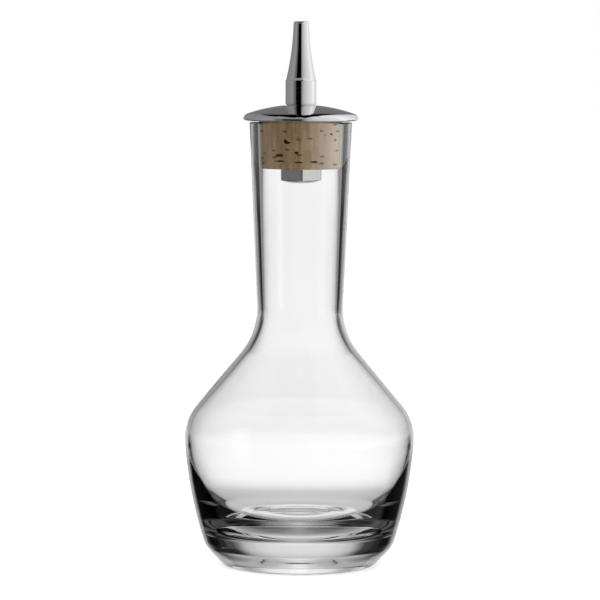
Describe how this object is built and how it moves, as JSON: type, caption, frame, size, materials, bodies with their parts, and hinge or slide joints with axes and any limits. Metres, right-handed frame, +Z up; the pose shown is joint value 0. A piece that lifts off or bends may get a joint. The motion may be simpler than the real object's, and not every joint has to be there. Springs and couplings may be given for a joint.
{
  "type": "bitters bottle",
  "caption": "Bell-bodied glass dasher bottle with a long flared neck, closed by a cork stopper that carries a domed metal cap and a narrow pouring spout.",
  "frame": {"origin": "centre of the base, on the surface that the bottle stands on", "axes": "+Z up along the axis of the bottle; the camera of the picture looks along +Y"},
  "size_m": [0.0634, 0.0634, 0.15],
  "materials": {
    "clear_glass": "clear, gloss",
    "cork_grain": "natural cork, matt, with dark pores",
    "polished_steel": "mirror polished stainless steel",
    "threaded_steel": "turned stainless steel"
  },
  "bodies": {
    "bottle": {"bottle": "clear_glass"},
    "stopper": {"cork": "cork_grain", "cap": "polished_steel", "spout": "polished_steel", "stem": "threaded_steel", "retaining_nut": "polished_steel"}
  },
  "joints": [
    {"name": "stopper_lift", "type": "slide", "parent": "bottle", "child": "stopper", "axis": [0, 0, 1], "range_m": [0, 0.03]}
  ]
}
